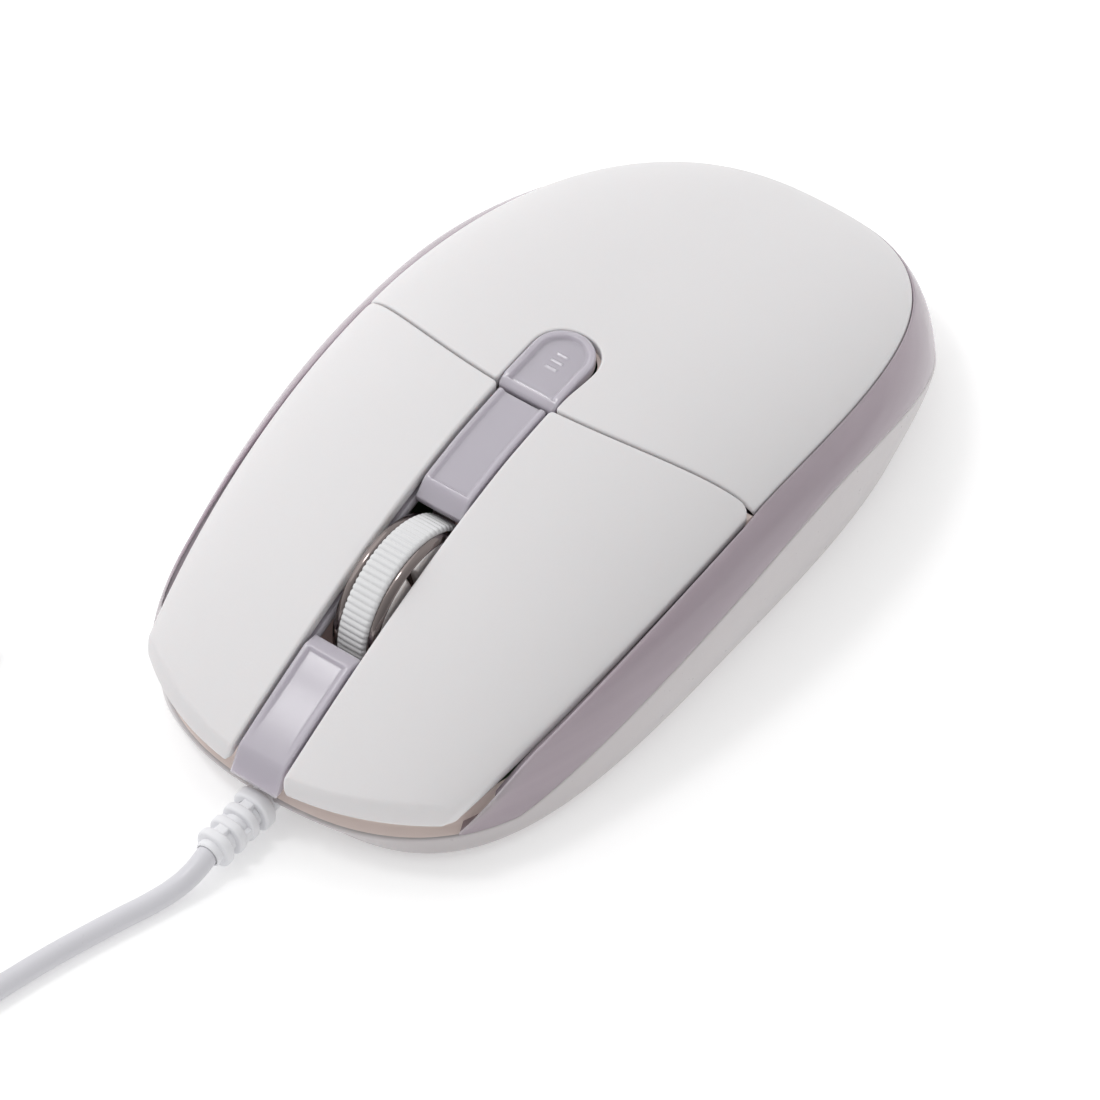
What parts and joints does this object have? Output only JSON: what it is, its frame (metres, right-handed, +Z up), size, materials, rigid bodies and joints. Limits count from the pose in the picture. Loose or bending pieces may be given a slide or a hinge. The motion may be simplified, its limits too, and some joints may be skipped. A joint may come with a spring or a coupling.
{
  "type": "computer mouse",
  "caption": "Wired low-profile computer mouse with separate main buttons, clickable scroll wheel, centre button, translucent spine and light band, and a coiled cord with plug.",
  "frame": {"origin": "on the table under the middle of the mouse and its strain relief, cord left out", "axes": "+Z up, nose and cord toward -Y, the user's left thumb side toward +X"},
  "size_m": [0.0897, 0.1964, 0.0303],
  "materials": {
    "matte_white": "fine matte, lightly textured",
    "gloss_white": "smooth, glossy",
    "smoke": "translucent, satin",
    "tyre_rubber": "soft, ribbed",
    "chrome": "polished plating",
    "dark_plastic": "moulded, matte",
    "steel": "bright",
    "circuit_board": "solder mask",
    "chip_black": "moulded epoxy",
    "plunger": "moulded",
    "clear_lens": "clear moulding",
    "led_body": "milky",
    "connector": "moulded",
    "cord_jacket": "smooth, semi-matte",
    "inner_sleeve": "matte",
    "glide": "slick",
    "gold_contact": "plated"
  },
  "bodies": {
    "base": {"palm_cover": "matte_white", "bottom_case": "gloss_white", "light_band": "smoke", "centre_spine": "smoke", "encoder_emitter": "dark_plastic", "encoder_detector": "dark_plastic", "capacitor": "dark_plastic", "cradle_pin": "steel", "button_hinge_pin": "steel", "board_screws": "steel", "dpi_board_screws": "steel", "case_screws": "steel", "plug_shell": "steel", "main_board": "circuit_board", "dpi_board": "circuit_board", "sensor_chip": "chip_black", "controller_chip": "chip_black", "resistors": "chip_black", "left_switch": "chip_black", "right_switch": "chip_black", "wheel_switch": "chip_black", "dpi_switch": "chip_black", "plug_tongue": "chip_black", "sensor_lens": "clear_lens", "indicator_leds": "led_body", "cable_header": "connector", "cable_plug": "connector", "strain_relief": "cord_jacket", "cord_run": "cord_jacket", "cord_coil": "cord_jacket", "cord_tail": "cord_jacket", "plug_body": "cord_jacket", "inner_lead": "inner_sleeve", "cord_tie": "inner_sleeve", "front_foot": "glide", "rear_foot": "glide", "plug_contacts": "gold_contact"},
    "left_key": {"left_button": "matte_white"},
    "right_key": {"right_button": "matte_white"},
    "dpi_key": {"dpi_button": "smoke"},
    "left_contact": {"left_plunger": "plunger"},
    "right_contact": {"right_plunger": "plunger"},
    "wheel_contact": {"wheel_plunger": "plunger"},
    "dpi_contact": {"dpi_plunger": "plunger"},
    "carrier": {"wheel_cradle": "dark_plastic"},
    "wheel": {"wheel_tyre": "tyre_rubber", "wheel_hub": "chrome", "wheel_axle": "dark_plastic", "encoder_disc": "dark_plastic"}
  },
  "joints": [
    {"name": "left_press", "type": "hinge", "parent": "base", "child": "left_key", "pos_m": [0, 0.0076, 0.016], "axis": [1, 0, 0], "range_deg": [0, 0.7], "stiffness_Nm_per_rad": 2, "springref_deg": -0.57},
    {"name": "right_press", "type": "hinge", "parent": "base", "child": "right_key", "pos_m": [0, 0.0076, 0.016], "axis": [1, 0, 0], "range_deg": [0, 0.7], "stiffness_Nm_per_rad": 2, "springref_deg": -0.57},
    {"name": "dpi_press", "type": "slide", "parent": "base", "child": "dpi_key", "axis": [0, 0, -1], "range_m": [0, 0.0004], "stiffness_N_per_m": 800, "springref_m": -0.0005},
    {"name": "wheel_click", "type": "hinge", "parent": "base", "child": "carrier", "pos_m": [0, -0.0424, 0.0086], "axis": [-1, 0, 0], "range_deg": [0, 0.8], "stiffness_Nm_per_rad": 2, "springref_deg": -0.57},
    {"name": "wheel_spin", "type": "hinge", "parent": "carrier", "child": "wheel", "pos_m": [0, -0.0259, 0.0136], "axis": [1, 0, 0], "continuous": true},
    {"name": "left_plunger_slide", "type": "slide", "parent": "base", "child": "left_contact", "axis": [0, 0, -1], "range_m": [0, 0.00055]},
    {"name": "right_plunger_slide", "type": "slide", "parent": "base", "child": "right_contact", "axis": [0, 0, -1], "range_m": [0, 0.00055]},
    {"name": "wheel_plunger_slide", "type": "slide", "parent": "base", "child": "wheel_contact", "axis": [0, 0, -1], "range_m": [0, 0.0006]},
    {"name": "dpi_plunger_slide", "type": "slide", "parent": "base", "child": "dpi_contact", "axis": [0, 0, -1], "range_m": [0, 0.0004]}
  ],
  "couplings": [
    {"joint": "left_plunger_slide", "follows": "left_press", "m_per_rad": 0.0402},
    {"joint": "right_plunger_slide", "follows": "right_press", "m_per_rad": 0.0402},
    {"joint": "wheel_plunger_slide", "follows": "wheel_click", "m_per_rad": 0.04},
    {"joint": "dpi_plunger_slide", "follows": "dpi_press", "ratio": 1}
  ]
}
